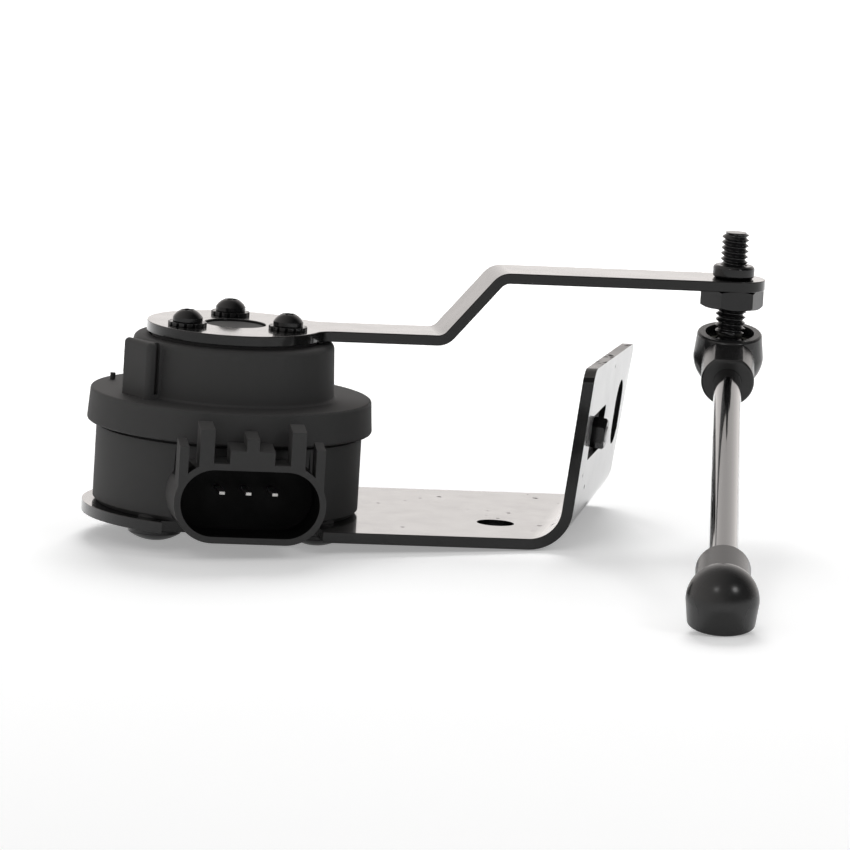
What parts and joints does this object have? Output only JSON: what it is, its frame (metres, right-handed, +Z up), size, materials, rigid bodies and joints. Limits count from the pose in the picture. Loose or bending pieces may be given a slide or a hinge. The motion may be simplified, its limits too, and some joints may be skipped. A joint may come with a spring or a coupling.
{
  "type": "ride height sensor",
  "caption": "Rotary ride height sensor on a folded bracket, with a cranked lever, ball stud and a link rod between ball sockets.",
  "frame": {"origin": "centre of the bracket's base hole at the underside of the plate", "axes": "+Z up from the plate along the base hole and the rotor's axis, +X along the bracket from the sensor to the folded flange, the connector opens towards -Y"},
  "size_m": [0.1549, 0.1842, 0.0724],
  "materials": {
    "painted_steel": "gloss black paint",
    "housing_plastic": "satin moulded",
    "rotor_plastic": "satin moulded",
    "socket_plastic": "semi-gloss moulded",
    "seat_plastic": "smooth",
    "black_steel": "black oxide",
    "bare_steel": "plain",
    "tinned_brass": "tinned",
    "black_rubber": "matt",
    "bush_bronze": "sintered",
    "magnet": "plain",
    "board": "lacquered",
    "chip": "matt"
  },
  "bodies": {
    "housing": {"mounting_bracket": "painted_steel", "lower_housing": "housing_plastic", "terminal_1": "tinned_brass", "terminal_2": "tinned_brass", "terminal_3": "tinned_brass", "circuit_board": "board", "angle_sensor_chip": "chip", "housing_gasket": "black_rubber", "upper_cover": "housing_plastic", "shaft_bush": "bush_bronze", "shaft_seal": "black_rubber", "bracket_screw_1": "black_steel", "bracket_screw_2": "black_steel", "bracket_screw_3": "black_steel", "bracket_screw_4": "black_steel", "flange_grommet": "black_rubber", "locating_pin": "bare_steel", "locating_nut": "black_steel"},
    "lever": {"lever_arm": "painted_steel", "rotor_shaft": "rotor_plastic", "sensor_magnet": "magnet", "retaining_ring": "bare_steel", "lever_screw_1": "black_steel", "lever_screw_2": "black_steel", "lever_screw_3": "black_steel", "lock_washer_1": "black_steel", "lock_washer_2": "black_steel", "lock_washer_3": "black_steel", "ball_stud": "black_steel", "stud_hex_nut": "black_steel", "stud_top_nut": "black_steel"},
    "swivel": {"upper_ball_seat": "seat_plastic"},
    "link": {"upper_socket": "socket_plastic", "link_rod": "painted_steel", "lower_socket": "socket_plastic", "lower_ball_seat": "seat_plastic"}
  },
  "joints": [
    {"name": "lever_swing", "type": "hinge", "parent": "housing", "child": "lever", "pos_m": [-0.0606, 0.0118, 0.042], "axis": [0, 0, 1], "range_deg": [-45, 45]},
    {"name": "link_swivel", "type": "hinge", "parent": "lever", "child": "swivel", "pos_m": [0.0537, 0.0118, 0.0413], "axis": [0, 0, 1], "range_deg": [-10, 200]},
    {"name": "link_tilt", "type": "hinge", "parent": "swivel", "child": "link", "pos_m": [0.0537, 0.0118, 0.0413], "axis": [0.9836, -0.1805, 0], "range_deg": [-30, 5]}
  ]
}
